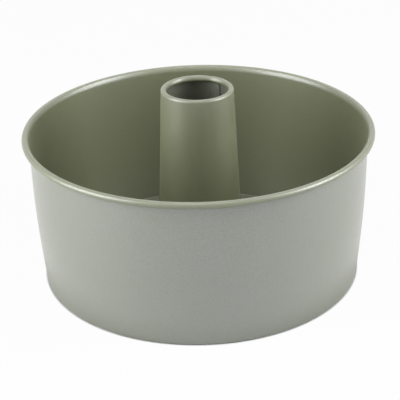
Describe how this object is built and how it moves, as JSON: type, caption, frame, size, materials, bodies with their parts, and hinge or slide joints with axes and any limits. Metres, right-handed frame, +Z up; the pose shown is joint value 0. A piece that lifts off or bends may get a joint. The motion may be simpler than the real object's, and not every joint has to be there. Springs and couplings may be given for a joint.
{
  "type": "angel food cake pan",
  "caption": "Round deep cake pan with a rolled, wired rim and a loose base that lifts out by a tall tapered centre tube.",
  "frame": {"origin": "centre of the pan on the plane that it stands on", "axes": "+Z up along the pan's axis; +X to the right and -Y towards the viewer of the picture; the tube's lap seam runs up the far right side"},
  "size_m": [0.254, 0.254, 0.1411],
  "materials": {
    "wall_coating": "satin metallic non-stick coating on sheet steel",
    "base_coating": "satin metallic non-stick coating on sheet steel",
    "tube_coating": "satin metallic non-stick coating on sheet steel",
    "rim_wire": "drawn steel wire, closed in by the rim"
  },
  "bodies": {
    "ring": {"pan_wall": "wall_coating", "rim_wire": "rim_wire"},
    "core": {"base_plate": "base_coating", "centre_tube": "tube_coating"}
  },
  "joints": [
    {"name": "core_lift", "type": "slide", "parent": "ring", "child": "core", "axis": [0, 0, 1], "range_m": [0, 0.125]}
  ]
}
